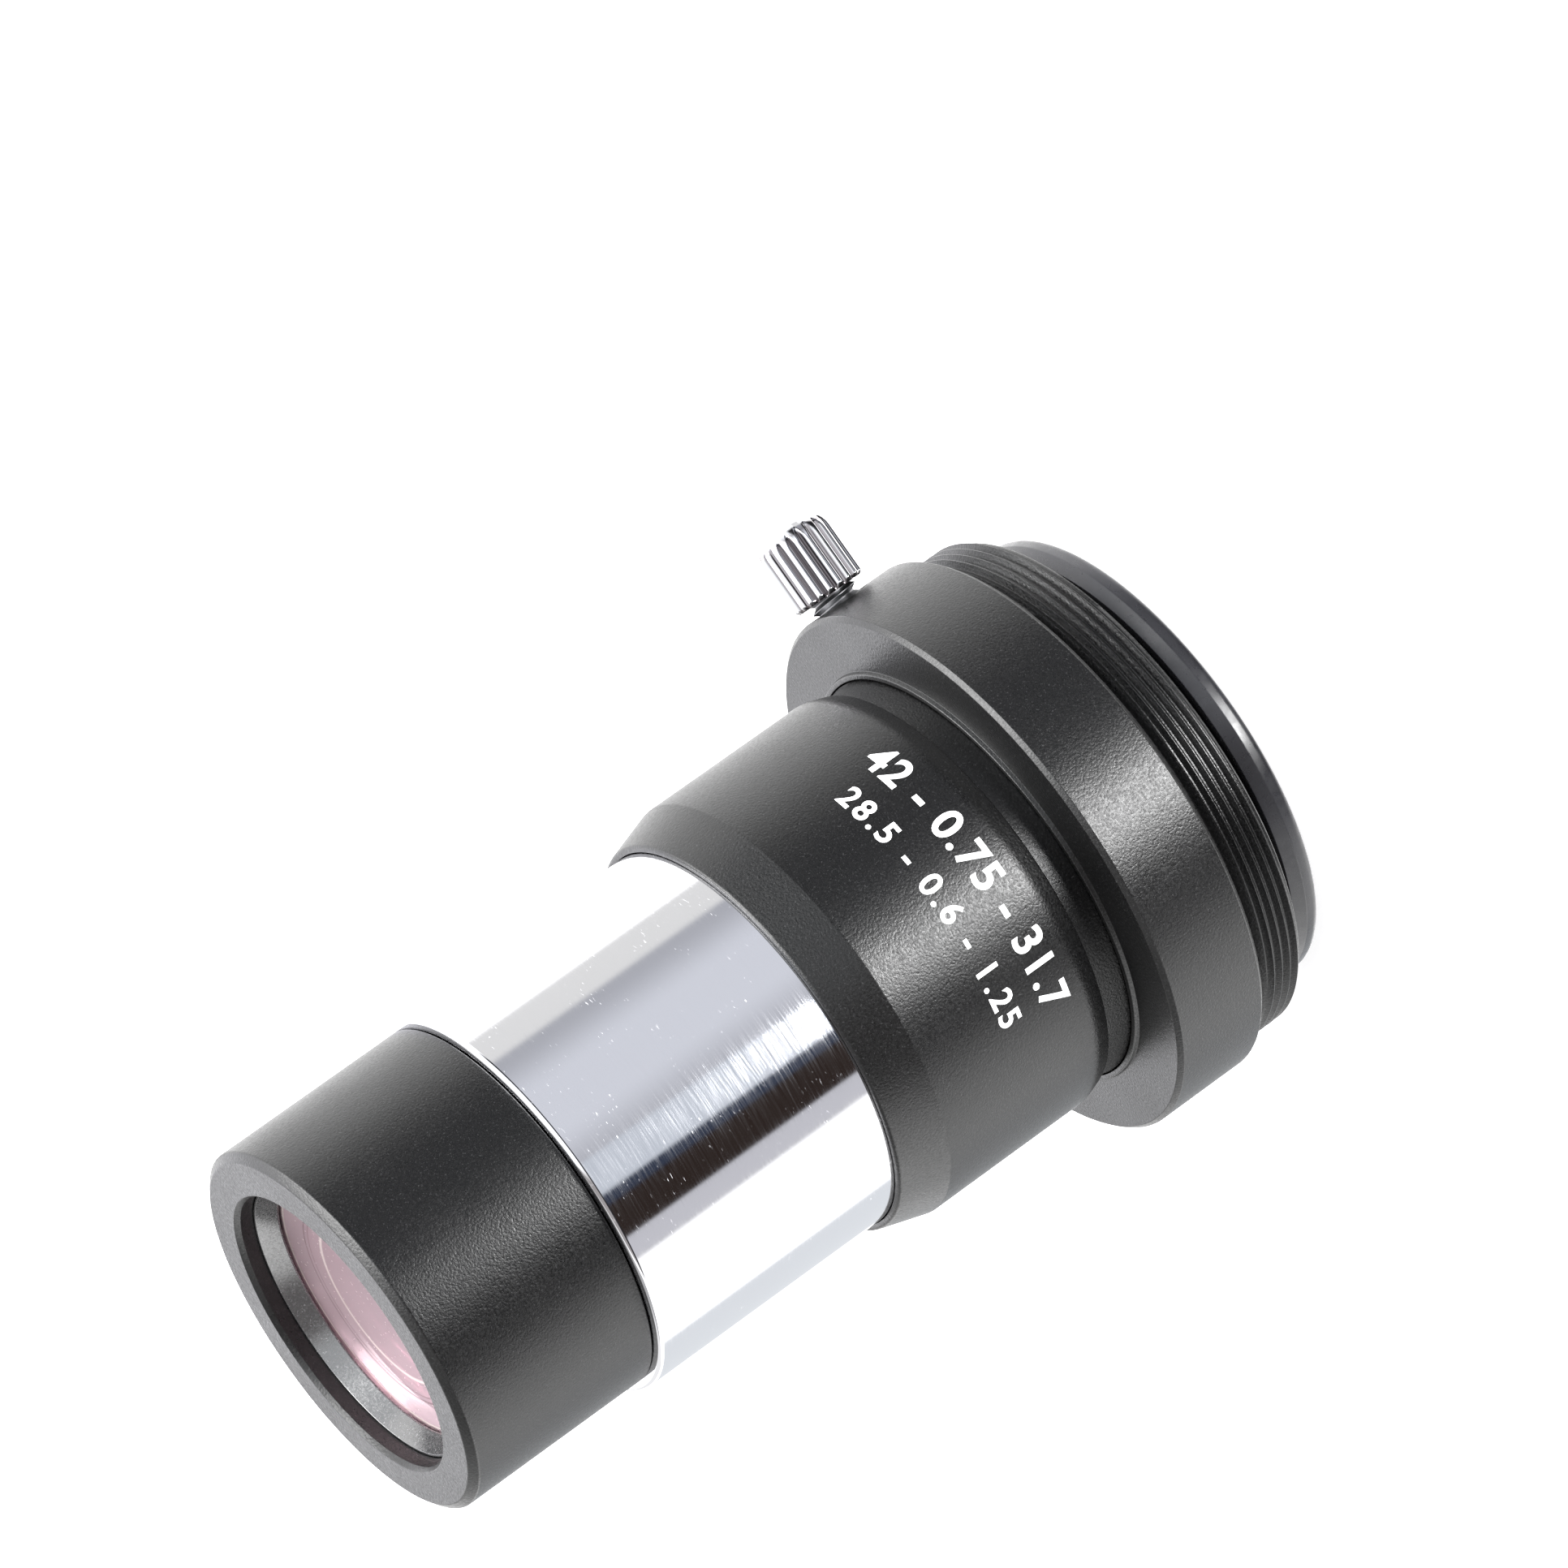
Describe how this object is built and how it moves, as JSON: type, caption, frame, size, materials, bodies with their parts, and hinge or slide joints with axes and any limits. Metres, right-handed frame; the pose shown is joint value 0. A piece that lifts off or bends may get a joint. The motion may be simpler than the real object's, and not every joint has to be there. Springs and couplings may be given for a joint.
{
  "type": "barlow lens",
  "caption": "Telescope barlow lens with a threaded lens cell at the nose, a chromed barrel, a socket with a thumbscrew for an eyepiece, a male camera thread and a dust cap.",
  "frame": {"origin": "centre of the dust cap's flat outer face", "axes": "+Z along the optical axis, from the dust cap to the lens cell's nose; +X from the optical axis out along the thumbscrew"},
  "size_m": [0.0514, 0.044, 0.0755],
  "materials": {
    "black_anodised": "fine bead-blasted black anodising",
    "ring_black": "turned and anodised black",
    "barrel_chrome": "polished chrome plate over brass, with hairline scratches",
    "screw_chrome": "polished chrome plate",
    "screw_steel": "turned steel",
    "tip_brass": "turned brass",
    "cap_plastic": "moulded black plastic, half gloss",
    "coated_glass": "optical glass with a pink multi-layer coating"
  },
  "bodies": {
    "main": {"eyepiece_holder": "black_anodised", "body_tube": "black_anodised", "barrel": "barrel_chrome"},
    "dust_cap": {"dust_cap": "cap_plastic"},
    "lens_pair": {"lens_front": "coated_glass", "lens_rear": "coated_glass"},
    "lens_cell": {"lens_cell": "black_anodised", "retaining_ring": "ring_black"},
    "clamp_tip": {"thumbscrew_tip": "tip_brass"},
    "thumbscrew": {"thumbscrew_knob": "screw_chrome", "thumbscrew_shank": "screw_steel"}
  },
  "joints": [
    {"name": "cap_pull", "type": "slide", "parent": "main", "child": "dust_cap", "axis": [0, 0, -1], "range_m": [0, 0.012]},
    {"name": "cell_travel", "type": "slide", "parent": "main", "child": "lens_pair", "axis": [0, 0, 1], "range_m": [0, 0.003]},
    {"name": "cell_turn", "type": "hinge", "parent": "lens_pair", "child": "lens_cell", "pos_m": [0, 0, 0.0593], "axis": [0, 0, 1], "range_deg": [0, 1800.5]},
    {"name": "screw_travel", "type": "slide", "parent": "main", "child": "clamp_tip", "axis": [1, 0, 0], "range_m": [-0.00017, 0.0028]},
    {"name": "screw_turn", "type": "hinge", "parent": "clamp_tip", "child": "thumbscrew", "pos_m": [0.022, 0, 0.0129], "axis": [1, 0, 0], "range_deg": [-90.5, 1440.5]}
  ],
  "couplings": [
    {"joint": "cell_turn", "follows": "cell_travel", "rad_per_m": 10472},
    {"joint": "screw_turn", "follows": "screw_travel", "rad_per_m": 8976}
  ]
}
